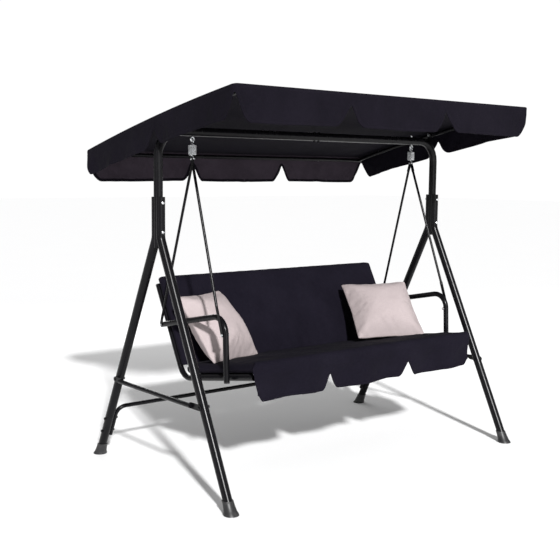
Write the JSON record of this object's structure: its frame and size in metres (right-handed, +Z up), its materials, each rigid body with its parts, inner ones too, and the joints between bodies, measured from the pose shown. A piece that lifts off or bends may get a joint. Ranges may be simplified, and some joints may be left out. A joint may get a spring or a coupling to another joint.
{
  "type": "porch swing",
  "caption": "Garden swing bench: steel A-frames and crossbar carry a sprung hanging seat with cushions and pillows under a tilting fabric canopy with scalloped edges.",
  "frame": {"origin": "on the ground, midway between the two A-frames and between the front and rear feet", "axes": "+X along the bench (the sitter's left hand side is +X), -Y is the open front that the sitter faces, +Z up"},
  "size_m": [1.7382, 1.115, 1.6185],
  "materials": {
    "frame_paint": "gloss",
    "zinc_hardware": "satin",
    "black_plastic": "matte",
    "canopy_fabric": "matte",
    "cushion_fabric": "matte",
    "sling_fabric": "matte",
    "pillow_fabric": "matte"
  },
  "bodies": {
    "frame": {"brace_left": "frame_paint", "brace_right": "frame_paint", "canopy_bracket_left": "frame_paint", "canopy_bracket_right": "frame_paint", "crossbar_left": "frame_paint", "crossbar_right": "frame_paint", "eye_bolt_left": "zinc_hardware", "eye_bolt_right": "zinc_hardware", "foot_front_left": "black_plastic", "foot_front_right": "black_plastic", "foot_rear_left": "black_plastic", "foot_rear_right": "black_plastic", "leg_front_left": "frame_paint", "leg_front_right": "frame_paint", "leg_rear_left": "frame_paint", "leg_rear_right": "frame_paint", "post_bolt_1_left": "zinc_hardware", "post_bolt_1_right": "zinc_hardware", "post_bolt_2_left": "zinc_hardware", "post_bolt_2_right": "zinc_hardware", "post_left": "frame_paint", "post_right": "frame_paint", "rear_stretcher": "frame_paint"},
    "springs": {"spring_left": "zinc_hardware", "spring_right": "zinc_hardware"},
    "bench": {"arm_bolt_front_left": "zinc_hardware", "arm_bolt_front_right": "zinc_hardware", "arm_bolt_rear_left": "zinc_hardware", "arm_bolt_rear_right": "zinc_hardware", "arm_cap_left": "black_plastic", "arm_cap_right": "black_plastic", "arm_left": "frame_paint", "arm_right": "frame_paint", "back_cushion": "cushion_fabric", "back_sling": "sling_fabric", "back_top_tube": "frame_paint", "hanger_bolt_left": "zinc_hardware", "hanger_bolt_right": "zinc_hardware", "hanger_front_left": "frame_paint", "hanger_front_right": "frame_paint", "hanger_rear_left": "frame_paint", "hanger_rear_right": "frame_paint", "pillow_left": "pillow_fabric", "pillow_right": "pillow_fabric", "seat_cushion": "cushion_fabric", "seat_front_tube": "frame_paint", "seat_side_left": "frame_paint", "seat_side_right": "frame_paint", "seat_sling": "sling_fabric"},
    "canopy": {"canopy_clamp_left": "zinc_hardware", "canopy_clamp_right": "zinc_hardware", "canopy_roof": "canopy_fabric", "canopy_side_left": "frame_paint", "canopy_side_right": "frame_paint", "canopy_tube_front": "frame_paint", "canopy_tube_rear": "frame_paint", "valance_front": "canopy_fabric", "valance_left": "canopy_fabric", "valance_rear": "canopy_fabric", "valance_right": "canopy_fabric"}
  },
  "joints": [
    {"name": "bench_swing", "type": "hinge", "parent": "frame", "child": "springs", "pos_m": [0, 0, 1.4317], "axis": [1, 0, 0], "range_deg": [-25, 25]},
    {"name": "spring_bounce", "type": "slide", "parent": "springs", "child": "bench", "axis": [0, 0, -1], "range_m": [0, 0.03], "stiffness_N_per_m": 45000, "springref_m": -0.005, "deforming": ["spring_left", "spring_right"]},
    {"name": "canopy_tilt", "type": "hinge", "parent": "frame", "child": "canopy", "pos_m": [0, 0, 1.503], "axis": [1, 0, 0], "range_deg": [-10, 20]}
  ]
}
